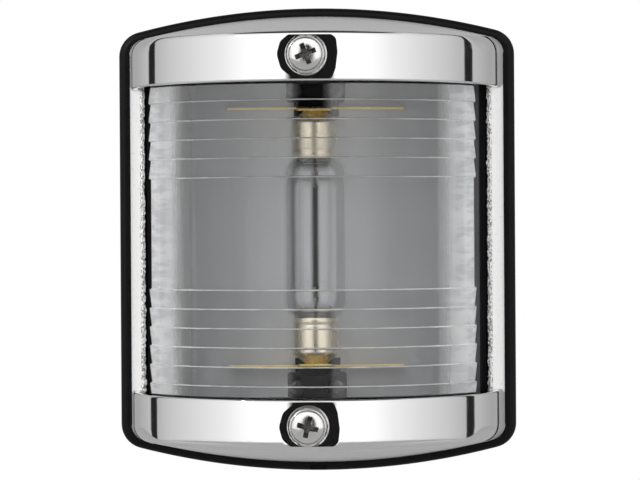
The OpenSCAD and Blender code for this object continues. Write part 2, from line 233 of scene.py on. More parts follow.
def apply_modifiers(obj):
    graph = bpy.context.evaluated_depsgraph_get()
    done = bpy.data.meshes.new_from_object(obj.evaluated_get(graph))
    obj.modifiers.clear()
    obj.data = done


def boolean(obj, operation, tools):
    for tool in tools:
        mod = obj.modifiers.new("cut", "BOOLEAN")
        mod.operation, mod.object, mod.solver = operation, tool, "EXACT"
        apply_modifiers(obj)
        bpy.data.objects.remove(tool)


def cut(obj, *tools):
    boolean(obj, "DIFFERENCE", tools)


def add(obj, *tools):
    boolean(obj, "UNION", tools)


def joined(parts):
    """The first of some objects, with the meshes of the others added to its own."""
    whole = parts[0]
    for part in parts[1:]:
        bm = bmesh.new()
        bm.from_mesh(whole.data)
        bm.from_mesh(part.data)
        bm.to_mesh(whole.data)
        bm.free()
        bpy.data.objects.remove(part)
    return whole


def bevel(obj, width, angle):
    mod = obj.modifiers.new("bevel", "BEVEL")
    mod.width, mod.segments, mod.limit_method = width * MM, 2, "ANGLE"
    mod.angle_limit, mod.use_clamp_overlap = math.radians(angle), True
    apply_modifiers(obj)


def smooth(obj, angle, weighted=True):
    """Smooth shading with edges sharper than angle kept; weighted lets the larger faces lead."""
    for face in obj.data.polygons:
        face.use_smooth = True
    obj.data.set_sharp_from_angle(angle=math.radians(angle))
    if weighted:
        mod = obj.modifiers.new("normals", "WEIGHTED_NORMAL")
        mod.keep_sharp, mod.weight = True, 70
        apply_modifiers(obj)


def finish_piece(obj, body, finish, slot, *nodes):
    """Gives a piece its material and body. It stands for the CAD nodes. The slot is not used."""
    obj.data.materials.clear()
    obj.data.materials.append(MAT[finish])
    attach(obj, body)
    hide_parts(*nodes)


def paint(obj, finish, where):
    """A second material on the faces that where(middle, normal) picks, in x, d, z and millimetres."""
    obj.data.materials.append(MAT[finish])
    last = len(obj.data.materials) - 1
    for face in obj.data.polygons:
        c, n = face.center / MM, face.normal
        if where(Vector((c.x, -c.y, c.z)), Vector((n.x, -n.y, n.z))):
            face.material_index = last


# ---------------------------------------------------------------- materials
class Nodes:
    """A node tree, with helpers whose inputs are other nodes' outputs or fixed values."""

    def __init__(self, tree):
        self.tree = tree

    def feed(self, value, socket):
        if isinstance(value, bpy.types.NodeSocket):
            self.tree.links.new(value, socket)
        else:
            socket.default_value = value

    def node(self, kind, **inputs):
        n = self.tree.nodes.new(kind)
        for key, value in inputs.items():
            self.feed(value, n.inputs[key.replace("_", " ")])
        return n

    def calc(self, operation, *values):
        n = self.tree.nodes.new("ShaderNodeMath")
        n.operation = operation
        for socket, value in zip(n.inputs, values):
            self.feed(value, socket)
        return n.outputs[0]

    def remap(self, value, lo, hi, to_lo, to_hi):
        return self.node("ShaderNodeMapRange", Value=value, From_Min=lo, From_Max=hi, To_Min=to_lo,
                         To_Max=to_hi).outputs["Result"]


class Shader(Nodes):
    """A Principled material. Keyword arguments are inputs that are the same all over the surface."""

    def __init__(self, name, **values):
        self.material = bpy.data.materials.new(name)
        self.material.use_nodes = True
        super().__init__(self.material.node_tree)
        self.bsdf = self.tree.nodes["Principled BSDF"]
        self.coords = self.node("ShaderNodeTexCoord").outputs["Object"]
        for key, value in values.items():
            self.bsdf.inputs[key.replace("_", " ")].default_value = value

    def noise(self, scale, detail, stretch=None):
        vector = self.coords
        if stretch:
            vector = self.node("ShaderNodeMapping", Vector=vector, Scale=stretch).outputs["Vector"]
        return self.node("ShaderNodeTexNoise", Vector=vector, Scale=scale, Detail=detail).outputs["Fac"]

    def across(self):
        """Distance to either side of the middle, in metres."""
        return self.calc("ABSOLUTE", self.node("ShaderNodeSeparateXYZ", Vector=self.coords).outputs["X"])

    def mix(self, factor, a, b):
        """A blend of two colours, each (r, g, b) or an output."""
        n = self.tree.nodes.new("ShaderNodeMix")
        n.data_type = "RGBA"
        self.feed(factor, n.inputs["Factor"])
        for key, colour in (("A", a), ("B", b)):
            self.feed((*colour, 1) if isinstance(colour, tuple) else colour, n.inputs[key])
        return n.outputs["Result"]

    def link(self, output, socket):
        self.feed(output, self.bsdf.inputs[socket])

    def tint(self, factor, a, b):
        self.link(self.mix(factor, a, b), "Base Color")

    def gloss(self, value, low, high):
        """Roughness from low to high over the middle of a noise's range."""
        self.link(self.remap(value, 0.3, 0.7, low, high), "Roughness")

    def bump(self, height, distance):
        """Bump of the given depth in millimetres. It comes last, and gives the finished material."""
        n = self.node("ShaderNodeBump", Height=height, Distance=distance * MM)
        self.link(n.outputs["Normal"], "Normal")
        return self.material


def polished_steel():
    s = Shader("polished_steel", Metallic=1.0)
    s.tint(s.noise(60, 4), (0.80, 0.80, 0.795), (0.84, 0.84, 0.835))
    s.gloss(s.noise(900, 4, (1, 1, 0.25)), 0.035, 0.075)
    return s.bump(s.noise(220, 2), 0.0035)


def satin_steel():
    """The cover's low rims: matt, pale and speckled."""
    s = Shader("satin_steel", Metallic=0.25)
    pits = s.remap(s.noise(3600, 2, (1, 1, 0.6)), 0.66, 0.74, 0.0, 1.0)
    s.tint(pits, (0.99, 0.985, 0.975), (0.50, 0.48, 0.46))
    s.gloss(s.noise(1500, 4), 0.38, 0.55)
    return s.bump(s.noise(2600, 4), 0.012)


def cut_steel():
    """The rough sheared edge of the rims."""
    s = Shader("cut_steel", Metallic=1.0)
    pits = s.remap(s.noise(4200, 4, (1, 1, 0.6)), 0.47, 0.62, 0.0, 1.0)
    s.tint(pits, (0.93, 0.92, 0.91), (0.24, 0.23, 0.22))
    s.gloss(s.noise(1700, 3), 0.25, 0.55)
    return s.bump(s.noise(3600, 4), 0.035)


def end_steel():
    """The cover's sloping ends, which are less polished than its front."""
    s = Shader("end_steel", Metallic=0.6)
    s.tint(s.noise(60, 4), (0.80, 0.80, 0.80), (0.85, 0.85, 0.845))
    s.gloss(s.noise(700, 4, (0.3, 1, 1)), 0.30, 0.38)
    return s.bump(s.noise(500, 2), 0.004)


def screw_steel():
    s = Shader("screw_steel", Metallic=1.0)
    s.tint(s.noise(700, 5), (0.70, 0.69, 0.68), (0.86, 0.85, 0.84))
    s.gloss(s.noise(1100, 4), 0.10, 0.24)
    return s.bump(s.noise(900, 3), 0.012)


def dark_steel_and_recess_shade():
    """Painted shade in the cover screws' recesses, and the dark metal of the small screws of the contact
    holders.
    """
    s = Shader("dark_steel_and_recess_shade", Metallic=0.8)
    s.tint(s.noise(1500, 4), (0.10, 0.10, 0.10), (0.26, 0.255, 0.25))
    s.gloss(s.noise(1100, 4), 0.35, 0.6)
    return s.bump(s.noise(1800, 4), 0.03)


def black_plastic():
    s = Shader("black_plastic", IOR=1.5, Specular_IOR_Level=0.11)
    s.tint(s.noise(300, 4), (0.004, 0.004, 0.0045), (0.008, 0.008, 0.009))
    s.gloss(s.noise(1800, 4), 0.30, 0.44)
    return s.bump(s.noise(2600, 3), 0.008)


def soft_rubber(name, dark, light):
    s = Shader(name, IOR=1.45)
    s.tint(s.noise(400, 4), dark, light)
    s.gloss(s.noise(900, 3), 0.62, 0.82)
    return s.bump(s.noise(2200, 4), 0.015)


def rubber():
    return soft_rubber("rubber", (0.010, 0.010, 0.010), (0.020, 0.020, 0.020))


def seal_rubber():
    return soft_rubber("seal_rubber", (0.36, 0.36, 0.37), (0.44, 0.44, 0.45))


def brass():
    s = Shader("brass", Metallic=1.0)
    s.tint(s.remap(s.noise(260, 5), 0.35, 0.7, 0.0, 1.0), (1.0, 0.84, 0.38), (0.97, 0.72, 0.26))
    s.gloss(s.noise(700, 4), 0.48, 0.60)
    return s.bump(s.noise(1200, 3, (0.2, 1, 1)), 0.006)


def satin_sheet():
    """Grey sheet behind the lamp, with faint upright drawing marks, and painted light that makes it lighter
    in the middle.
    """
    s = Shader("satin_sheet", Metallic=0.25)
    grain = s.noise(420, 4, (1, 1, 0.06))
    sides = s.mix(grain, (0.46, 0.48, 0.50), (0.54, 0.545, 0.55))
    # painted light: the middle of the sheet is painted lighter, a pool of light behind the lamp
    middle = s.mix(grain, (0.70, 0.715, 0.73), (0.78, 0.785, 0.79))
    s.tint(s.remap(s.across(), 0.004, 0.014, 1.0, 0.0), sides, middle)
    s.gloss(s.noise(900, 3, (1, 1, 0.08)), 0.42, 0.58)
    return s.bump(s.noise(1200, 3, (1, 1, 0.08)), 0.006)


def painted_lit_sheet():
    """The channel's sides: a little smoother than its floor, and painted much lighter, as painted light
    falling on them.
    """
    s = Shader("painted_lit_sheet", Metallic=0.5)
    s.tint(s.noise(420, 4, (1, 1, 0.06)), (0.82, 0.83, 0.84), (0.90, 0.90, 0.90))
    s.gloss(s.noise(900, 3, (1, 1, 0.08)), 0.30, 0.45)
    return s.bump(s.noise(1200, 3, (1, 1, 0.08)), 0.006)


def frosted_glowing_lens():
    """The lens's inner faces: clear in front, and cloudy at the sides, where light leaves the wall; there
    they are painted white with a painted glow, a weak emission that stands in for that light.
    """
    s = Shader("frosted_glowing_lens", IOR=1.58)
    clear = s.remap(s.across(), 0.0212, 0.0250, 1.0, 0.0)
    waves = s.remap(s.noise(240, 4, (0.6, 0.6, 4.0)), 0.40, 0.60, 0.0, 1.0)
    tone_and_glow = s.mix(s.calc("MAXIMUM", waves, clear), (0.74, 0.75, 0.77), (1.0, 1.0, 1.0))
    s.link(tone_and_glow, "Base Color")
    # painted glow: the cloudy sides emit a little light, though they are no lamp
    s.link(tone_and_glow, "Emission Color")
    for socket, cloudy_and_glowing, plain in (("Transmission Weight", 0.30, 1.0), ("Roughness", 0.5, 0.0),
                                  ("Emission Strength", 0.24, 0.0)):
        s.link(s.remap(clear, 0.0, 1.0, cloudy_and_glowing, plain), socket)
    return s.bump(s.noise(90, 2), 0.004)


def rib_step_painted_light():
    """The small matt steps between the ribs, painted whitish: painted light lines where the bright
    surroundings show through the ribs.
    """
    s = Shader("rib_step_painted_light", IOR=1.58, Transmission_Weight=0.35)
    s.tint(s.remap(s.noise(300, 4), 0.38, 0.6, 0.0, 1.0), (0.68, 0.69, 0.70), (1.0, 1.0, 1.0))
    s.gloss(s.noise(1500, 3), 0.35, 0.55)
    return s.bump(s.noise(3000, 3), 0.02)


def polycarbonate():
    s = Shader("polycarbonate", IOR=1.58, Transmission_Weight=1.0)
    s.tint(s.noise(120, 2), (0.985, 0.99, 0.992), (0.995, 0.998, 0.998))
    s.gloss(s.noise(350, 3), 0.0, 0.012)
    return s.bump(s.noise(90, 2), 0.004)


def lamp_glass():
    """Thin glass, which mirrors little face on and more towards its outline."""
    s = Shader("lamp_glass", Metallic=1.0)
    s.tint(s.noise(90, 2), (0.94, 0.95, 0.96), (1.0, 1.0, 1.0))
    s.gloss(s.noise(200, 2), 0.02, 0.06)
    edge = s.node("ShaderNodeFresnel", IOR=1.5).outputs["Fac"]
    s.link(s.remap(edge, 0.0, 0.5, 0.03, 0.6), "Alpha")
    return s.bump(s.noise(140, 2, (1, 1, 0.3)), 0.006)


def nickel():
    s = Shader("nickel", Metallic=0.85)
    s.tint(s.noise(300, 4), (1.0, 0.94, 0.80), (0.95, 0.85, 0.64))
    s.gloss(s.noise(900, 3, (1, 1, 0.3)), 0.24, 0.34)
    return s.bump(s.noise(800, 3), 0.006)


def wire():
    s = Shader("wire", Metallic=0.9)
    s.tint(s.noise(1500, 3), (0.16, 0.15, 0.145), (0.30, 0.28, 0.27))
    s.gloss(s.noise(1200, 3), 0.35, 0.55)
    return s.bump(s.noise(4000, 2), 0.004)


def pale_floor():
    s = Shader("pale_floor", Roughness=0.9)
    s.tint(s.noise(8, 3), (0.60, 0.60, 0.60), (0.64, 0.64, 0.64))
    return s.material


MAT = {make.__name__: make() for make in (
    polished_steel, satin_steel, cut_steel, end_steel, screw_steel, dark_steel_and_recess_shade, black_plastic, rubber,
    seal_rubber, brass, satin_sheet, painted_lit_sheet, frosted_glowing_lens, rib_step_painted_light, polycarbonate, lamp_glass, nickel,
    wire, pale_floor)}


# ---------------------------------------------------------------- base
def make_base():
    """The plate with its pocket, side rails, seal groove, bosses and holes."""
    def outline(inset):
        return arched(inset, BASE_W, BASE_H, ARCH_R, BASE_CORNER)

    above = FLANGE_D + 1  # clear of the front face
    back_r, front_r, pocket_r = 0.3, 1.3, 1.0
    base = loft("base_plate", edge_rings(outline, rounded_edge(GASKET_T, FLANGE_D, back_r, front_r)))
    cut(base, prism("tool", rounded(rect(span(POCKET_X), span(POCKET_Z)), pocket_r), FLOOR_D, above, "d"))
    rail = [(POCKET_X, FLANGE_D - 1), (POCKET_X, FLANGE_D + 3.4), (30.95, FLANGE_D + 3.4),
            (32.5, FLANGE_D + 1), (32.7, FLANGE_D - 1)]
    for m in (-1, 1):
        section = rounded([(m * x, d) for x, d in rail], [0, 0.2, 0.2, 0.2, 0], 3)
        add(base, prism("tool", section, *span(RAIL_Z), "z"))
    groove, inner_z = (GROOVE_D, FLOOR_D + 1), LENS_TOP - END_WALL - 0.2
    for m in (-1, 1):
        cut(base, block(sorted((m * SEAL_IN, m * POCKET_X)), groove, span(POCKET_Z)),
            block(span(SEAL_IN + 0.5), groove, sorted((m * inner_z, m * POCKET_Z))))
    boss = (FLOOR_D - 0.5, CHANNEL_D - SHEET)  # bosses hold the channel off the floor
    boss_r, side_boss_x, side_boss_r = 1.8, 19, 2.5
    for m in (-1, 1):
        for k in (-1, 1):
            add(base, peg(m * FOOT_X, k * FOOT_Z, boss_r, boss, 24))
        add(base, peg(m * side_boss_x, 0, side_boss_r, boss, 32))
    for x, z in MOUNTS:
        cut(base, peg(x, z, MOUNT_R, (0, above)), peg(x, z, MOUNT_HEAD_R, (FLANGE_D - 3, above)))
    drain = block(span(1.5), (FLANGE_D - 1, above), (-BASE_H / 2 - 1, -BASE_H / 2 + 1))
    cut(base, peg(0, 0, GROMMET_NECK, (0, FLOOR_D + 1)), drain)
    smooth(base, 30)
    finish_piece(base, "base_body", "black_plastic", "black_plastic", "base")


def make_gasket():
    back = 0.3  # how far its edge stands back from the base's

    def outline(inset):
        return arched(inset, BASE_W - 2 * back, BASE_H - 2 * back, ARCH_R - back, BASE_CORNER - back)

    gasket = loft("gasket", edge_rings(outline, rounded_edge(0, GASKET_T, 0.25, 0.25, 3)))
    for x, z, r in (*((x, z, MOUNT_R) for x, z in MOUNTS), (0, 0, GROMMET_R + 0.2)):
        cut(gasket, peg(x, z, r, (-1, GASKET_T + 1)))
    smooth(gasket, 30)
    finish_piece(gasket, "base_body", "rubber", "rubber", "mounting_gasket")


def make_grommet():
    hole, rim, neck, front = CABLE_R, GROMMET_R, GROMMET_NECK, FLOOR_D + 1.0
    grommet = revolve("grommet", [
        (hole, 0.5), (hole + 0.3, 0.3), (rim - 0.3, 0.3), (rim, 0.5), (rim, GASKET_T - 0.1),
        (rim - 0.1, GASKET_T), (neck, GASKET_T), (neck, FLOOR_D), (rim - 0.1, FLOOR_D), (rim, FLOOR_D + 0.15),
        (rim, front - 0.3), (rim - 0.25, front), (hole + 0.3, front), (hole, front - 0.25)], (0, 0, 0), "d")
    smooth(grommet, 40)
    finish_piece(grommet, "base_body", "rubber", "rubber", "cable_grommet")


# ---------------------------------------------------------------- reflector, holders and contacts
def make_reflector():
    x_in, bend_in, edge = CHANNEL_X - SHEET, 1.4, 0.2
    bend_out, back = bend_in + SHEET, CHANNEL_D - SHEET
    section = rounded(
        [(-CHANNEL_X, WING_TOP), (-CHANNEL_X, back), (CHANNEL_X, back), (CHANNEL_X, WING_TOP),
         (x_in, WING_TOP), (x_in, CHANNEL_D), (-x_in, CHANNEL_D), (-x_in, WING_TOP)],
        [edge, bend_out, bend_out, edge, edge, bend_in, bend_in, edge], 6)
    channel = prism("reflector_sheet", section, *span(CHANNEL_Z), "z")
    slot_x, slot_half = 4.2, 1.7
    for side in (-1, 1):
        mid = LAMP_Z + side * (BLADE_Z + BLADE_T / 2)
        cut(channel, block(span(slot_x), (CHANNEL_D - 2, CHANNEL_D + 1), (mid - slot_half, mid + slot_half)))
        for m in (-1, 1):
            cut(channel, peg(m * FOOT_X, side * FOOT_Z, FOOT_BORE, (0, CHANNEL_D + 1), 24))
    smooth(channel, 30)
    finish_piece(channel, "base_body", "satin_sheet", "satin_metal", "reflector_channel")
    # painted light: the channel's upright sides get the lighter sheet
    paint(channel, "painted_lit_sheet", lambda mid, n: abs(n.x) > 0.9)


def make_holder(side, word):
    """Black block that carries a contact, cut back on its inner side to give the blade room to bend."""
    inner = LAMP_Z * side + BLADE_Z + BLADE_T + 0.06
    front, pivot, bend = LAMP_D + 5.6, 10.4, math.radians(9)
    relief = min(inner + (front - pivot) * math.tan(bend), HOLDER_TOP - 1)
    outline = [(CHANNEL_D, inner), (pivot, inner), (front, relief), (front, HOLDER_TOP),
               (CHANNEL_D, HOLDER_TOP)]
    section = rounded([(d, side * z) for d, z in outline], [0, 0, 0.35, 0.5, 0], 4)
    holder = prism(f"{word}_holder", section, *span(TONGUE_X), "x")
    foot = rect(span(FOOT_HALF), sorted((side * (inner + 0.7), side * HOLDER_TOP)))
    add(holder, prism("tool", rounded(foot, 0.5, 4), CHANNEL_D, FOOT_FRONT, "d"))
    for m in (-1, 1):
        cut(holder, peg(m * FOOT_X, side * FOOT_Z, FOOT_BORE, (0, front), 24),
            peg(m * FOOT_X, side * FOOT_Z, 1.85, (FOOT_FRONT - FOOT_HEAD_H, front + 1), 32))
    smooth(holder, 30)
    finish_piece(holder, "base_body", "black_plastic", "black_plastic", f"{word}_contact_holder")


def make_contact(side, word):
    """A flat brass blade with two wings, a tongue that holds the lamp's tip, and a neck behind."""
    back, wing_front, front = 8.6, 11.2, LAMP_D + 4.2
    neck_x, neck_back = 2.2, 4.7
    plan = rounded(
        [(-WING_X, back), (-neck_x, back), (-neck_x, neck_back), (neck_x, neck_back), (neck_x, back),
         (WING_X, back), (WING_X, wing_front), (TONGUE_X, wing_front), (TONGUE_X, front), (-TONGUE_X, front),
         (-TONGUE_X, wing_front), (-WING_X, wing_front)],
        [0.6, 0.4, 0.5, 0.5, 0.4, 0.6, 0.6, 0.5, 1.0, 1.0, 0.5, 0.6], 4)
    lo, hi = sorted(LAMP_Z + side * z for z in (BLADE_Z, BLADE_Z + BLADE_T))
    blade = prism(f"{word}_blade", plan, lo, hi, "z")
    cut(blade, prism("tool", circle(0, LAMP_D, BLADE_HOLE, 64), lo - 1, hi + 1, "z"))
    bevel(blade, 0.1, 60)
    smooth(blade, 40)
    finish_piece(blade, f"{word}_contact_body", "brass", "brass", f"{word}_contact")


def make_holder_screws():
    front, under, tip = FOOT_FRONT, FOOT_FRONT - FOOT_HEAD_H, FLOOR_D - 0.5
    profile = [(POLE, front), (0.9, front), (1.3, front - 0.12), (1.6, front - 0.45), (1.7, front - 0.9),
               (1.7, under), (0.95, under), (0.95, tip + 0.2), (0.8, tip), (POLE, tip)]
    screws = []
    for m in (-1, 1):
        for k in (-1, 1):
            x, z = m * FOOT_X, k * FOOT_Z
            screw = revolve("holder_screw_set", profile, (x, 0, z), "d", 32)
            for u, w in ((1.05, 0.2), (0.2, 1.05)):
                cut(screw, block((x - u, x + u), (front - 0.6, front + 1), (z - w, z + w)))
            screws.append(screw)
    heads = joined(screws)
    smooth(heads, 35)
    finish_piece(heads, "base_body", "dark_steel_and_recess_shade", "steel", "holder_screws")


# ---------------------------------------------------------------- lamp
LAMP_CENTRE = (0, LAMP_D, LAMP_Z)


def make_bulb():
    """A glass tube whose ends draw in to two necks, with an inner and an outer face."""
    shoulder, body_half, drop, n = CAP_START - 0.2, 6.0, 2.9, 12
    outside = [(NECK_R, CAP_END - 2), (NECK_R, CAP_START + 0.6), (NECK_R + 0.06, shoulder)]
    for k in range(1, n + 1):
        a = math.pi / 2 * k / n
        outside.append((NECK_R + (BULB_R - NECK_R) * math.sin(a) ** 0.9, shoulder - drop * (1 - math.cos(a))))
    inside = []
    for r, h in outside:  # the wall is thinner towards the neck
        wall = BULB_WALL * (0.75 + 0.25 * min(1, (CAP_END - h) / 8))
        inside.append((r - wall, h - (0.55 if h < shoulder - 0.1 else 0.0)))
    for ring, r in ((outside, BULB_R), (inside, BULB_R - BULB_WALL)):
        ring += [(r, body_half), (r, 0.0)]
    profile = outside + [(r, -h) for r, h in reversed(outside[:-1])]
    profile += [(r, -h) for r, h in inside[:-1]] + inside[::-1]
    glass = revolve("lamp_bulb", profile, LAMP_CENTRE, "z", 96)
    smooth(glass, 50, False)
    finish_piece(glass, "lamp_body", "lamp_glass", "lamp_glass", "lamp_glass")


def make_lamp_cap(side, word):
    bore, groove = CAP_R - 0.35, CAP_R - 0.13
    profile = [(POLE, CAP_END - 0.8), (bore, CAP_END - 0.8), (bore, CAP_START + 0.1),
               (CAP_R - 0.25, CAP_START), (CAP_R - 0.08, CAP_START), (CAP_R, CAP_START + 0.1),
               (CAP_R, CAP_START + 0.9), (groove, CAP_START + 1.15), (groove, CAP_START + 1.45),
               (CAP_R, CAP_START + 1.7), (CAP_R, CAP_END - 0.75), (CAP_R - 0.12, CAP_END - 0.35),
               (CAP_R - 0.42, CAP_END - 0.08), (CONE_R, CAP_END), (TIP_R + 0.25, TIP_Z - 0.12),
               (TIP_R - 0.05, TIP_Z), (POLE, TIP_Z)]
    cap = revolve(f"{word}_cap", [(r, side * h) for r, h in profile], LAMP_CENTRE, "z", 72)
    smooth(cap, 40)
    finish_piece(cap, "lamp_body", "nickel", "lamp_cap", f"{word}_lamp_cap")


def make_filament():
    turns, per_turn, wire_r = 44, 12, 0.085
    steps = turns * per_turn
    path = []
    for k in range(steps + 1):
        a = 2 * math.pi * k / per_turn
        path.append((COIL_R * math.cos(a), LAMP_D + COIL_R * math.sin(a),
                     LAMP_Z + FILAMENT_HALF * (2 * k / steps - 1)))
    coil = tube("coil", path, wire_r, 6)
    smooth(coil, 60, False)
    finish_piece(coil, "lamp_body", "wire", "filament", "lamp_filament")


def make_leads():
    """Stiff wires from the ends of the filament, which bend to the axis first, out to the caps."""
    start, length, n, bend = FILAMENT_HALF - 0.2, 10, 24, 4
    leads = []
    for side in (-1, 1):
        path = [(COIL_R * (1 - min(1, k / bend)), LAMP_D, LAMP_Z + side * (start + length * k / n))
                for k in range(n + 1)]
        leads.append(tube("lead_wires", path, 0.26, 10))
    leads = joined(leads)
    smooth(leads, 60, False)
    finish_piece(leads, "lamp_body", "wire", "filament", "lamp_leads")


def make_beads():
    start, half, hole, end_r = CAP_START + 0.6, 1.2, 0.32, 1.1
    profile = [(hole, start), (end_r, start)]
    for k in range(11):
        a = math.radians(-70 + 14 * k)
        profile.append((1.5 - 0.2 * math.cos(a) ** 2, start + half + half * math.sin(a)))
    profile += [(end_r, start + 2 * half), (hole, start + 2 * half)]
    beads = joined([revolve("glass_beads", [(r, side * h) for r, h in profile], LAMP_CENTRE, "z", 40)
                    for side in (-1, 1)])
    smooth(beads, 60, False)
    finish_piece(beads, "lamp_body", "lamp_glass", "lamp_glass", "lamp_beads")


# ---------------------------------------------------------------- lens
LENS_SIDE_X, LENS_SIDE_D = LENS_R * math.sin(SWEEP), LAMP_D + LENS_R * math.cos(SWEEP)


def wall_profile():
    """Outer side of the lens's wall as (distance out from the inner face, height), bottom to top."""
    tip, root, step, foot = 0.12, 0.05, 0.16, 0.02
    round_tip = ((1, 0), (0.5, 0.2), (0.25, 0.55), (0.2, 1), (0.25, 1.6))
    band, crest = OPTIC_Z + BAND_HALF, LENS_WALL + RIB_RISE
    upper = [(LENS_WALL, band - root)]
    for i in range(RIBS):
        z = band + i * RIB_PITCH
        upper.append((LENS_WALL + foot, z))
        upper += [(crest - tip * back, z + step + tip * up) for back, up in round_tip]
        if z + RIB_PITCH < LENS_TOP:
            upper.append((LENS_WALL + foot, z + RIB_PITCH - root))
    # The top of the lens cuts the last rib short.
    upper.append((LENS_WALL + RIB_RISE * (1 - (LENS_TOP - z) / RIB_PITCH), LENS_TOP))
    lower = [(u, 2 * OPTIC_Z - z) for u, z in upper] + [(LENS_WALL + foot, -LENS_TOP)]
    return lower[::-1] + upper


def lens_stations():
    """Places (x, d) on the inner face, from right to left, each with the angle that the wall faces there."""
    n_side, n_corner, n_arc, square = 6, 14, 96, math.pi / 2
    half = [(LENS_SIDE_X, LENS_BACK + (LENS_SIDE_D - LENS_BACK) * k / n_side, square) for k in range(n_side)]
    half += [(LENS_SIDE_X, LENS_SIDE_D, square - (square - SWEEP) * k / n_corner)
             for k in range(n_corner + 1)]
    for k in range(1, n_arc + 1):
        a = SWEEP * (1 - k / n_arc)
        half.append((LENS_R * math.sin(a), LAMP_D + LENS_R * math.cos(a), a))
    return half + [(-x, d, -a) for x, d, a in reversed(half[:-1])]


def make_lens():
    stations, outer, inner_z = lens_stations(), wall_profile(), LENS_TOP - END_WALL
    heights = (-inner_z, OPTIC_Z - BAND_HALF, OPTIC_Z + BAND_HALF, inner_z)
    rows, cols, n = len(stations), len(outer), len(heights)
    verts = [(x + u * math.sin(a), d + u * math.cos(a), z) for x, d, a in stations for u, z in outer]
    first = len(verts)  # number of the inner face's first point
    verts += [(x, d, z) for x, d, _ in stations for z in heights]
    faces = grid_faces(rows, cols) + grid_faces(rows, n, first)
    for start, width in ((0, cols), (first, n)):  # the flat ends, over the outer and the inner outline
        faces.append(tuple(start + width * i for i in range(rows)))
        faces.append(tuple(start + width * i + width - 1 for i in range(rows)))
    last, inner_last = (rows - 1) * cols, first + n * (rows - 1)
    for at, inner_at in ((0, first), (last, inner_last)):  # the back edges of the two sides
        faces.append(tuple(range(at, at + cols)) + tuple(reversed(range(inner_at, inner_at + n))))
    faces.append((0, first, inner_last, last))
    faces.append((cols - 1, first + n - 1, inner_last + n - 1, last + cols - 1))
    lens = mesh_object("lens_cover", verts, faces)
    seat_x, seat_d, seat_z, above = 6.8, 43.9, 27.25, 30
    for side in (-1, 1):  # room for the screws' seats
        cut(lens, block(span(seat_x), (seat_d, 2 * above), sorted((side * seat_z, side * above))))
    smooth(lens, 28)
    finish_piece(lens, "lens_body", "polycarbonate", "clear_lens", "lens")

    def inner_face(mid, n):
        flat = abs(mid.x) < LENS_SIDE_X + 0.05 and mid.y < LENS_SIDE_D
        return abs(n.z) < 0.1 and (flat or math.hypot(mid.x, mid.y - LAMP_D) < LENS_R + 0.05)

    def small_step(mid, n):
        outside = math.hypot(mid.x, mid.y - LAMP_D) > LENS_R + LENS_WALL - 0.05
        return abs(n.z) > 0.6 and abs(mid.z) < LENS_TOP - 0.2 and mid.y > LAMP_D and outside

    # painted glow on the lens's inner side faces
    paint(lens, "frosted_glowing_lens", inner_face)
    # painted light lines on the steps between the ribs
    paint(lens, "rib_step_painted_light", small_step)


# ---------------------------------------------------------------- cover
def wall_x(d):
    """Half width of the cover at a depth. Behind the lamp's middle the wall flares towards the rim."""
    lean = max((LAMP_D - d) / (LAMP_D - FLANGE_D), 0)
    return DOME_R + (RIM_X - DOME_R) * lean ** 1.5


def plan_stations(inset):
    """Plan outline of the cover's upright wall, as (x, d, outward normal), from left to right."""
    out = []
    n_flare, n_turn, h = 12, 100, 0.01
    for k in range(n_flare):
        d = FLANGE_D + (LAMP_D - FLANGE_D) * k / n_flare
        slope = (wall_x(d + h) - wall_x(d - h)) / (2 * h)
        out.append((wall_x(d), d, Vector((1, -slope)).normalized()))
    for k in range(n_turn + 1):
        a = math.pi / 2 * k / n_turn
        out.append((DOME_R * math.cos(a), LAMP_D + DOME_R * math.sin(a), Vector((math.cos(a), math.sin(a)))))
    right = [(x - n.x * inset, d - n.y * inset if d > FLANGE_D else d, n) for x, d, n in out]
    left = [(-x, d, Vector((-n.x, n.y))) for x, d, n in right]
    return left[:-1] + right[::-1]


def end_height(x, d, inset):
    """Height of the cover's sloping end, which is arched, and lifts a little towards its front corners."""
    r = ARCH_R - (d - FLANGE_D) * math.tan(DRAFT) - inset / math.cos(DRAFT)
    lift, reach = 0.9, 26
    corner = min(abs(x) / reach, 1.2) ** 2 * min(max(d - FLANGE_D, 0) / reach, 1)
    return COVER_H / 2 - ARCH_R + math.sqrt(r * r - x * x) + lift * corner


def end_normal(x, d):
    h = 0.01
    zx = (end_height(x + h, d, 0) - end_height(x - h, d, 0)) / (2 * h)
    zd = (end_height(x, d + h, 0) - end_height(x, d - h, 0)) / (2 * h)
    return Vector((-zx, -zd, 1)).normalized()


def fillet_at(x, d):
    """Radius of the edge between the wall and the sloping end: tight in front, wider at the sides."""
    tight, wider, start, over = 1.0, 2.2, 54, 14  # millimetres, and degrees round from the front
    angle = math.degrees(math.atan2(abs(x), max(d - LAMP_D, 0)))
    t = min(max((angle - start) / over, 0), 1)
    return tight + wider * t * t * (3 - 2 * t)


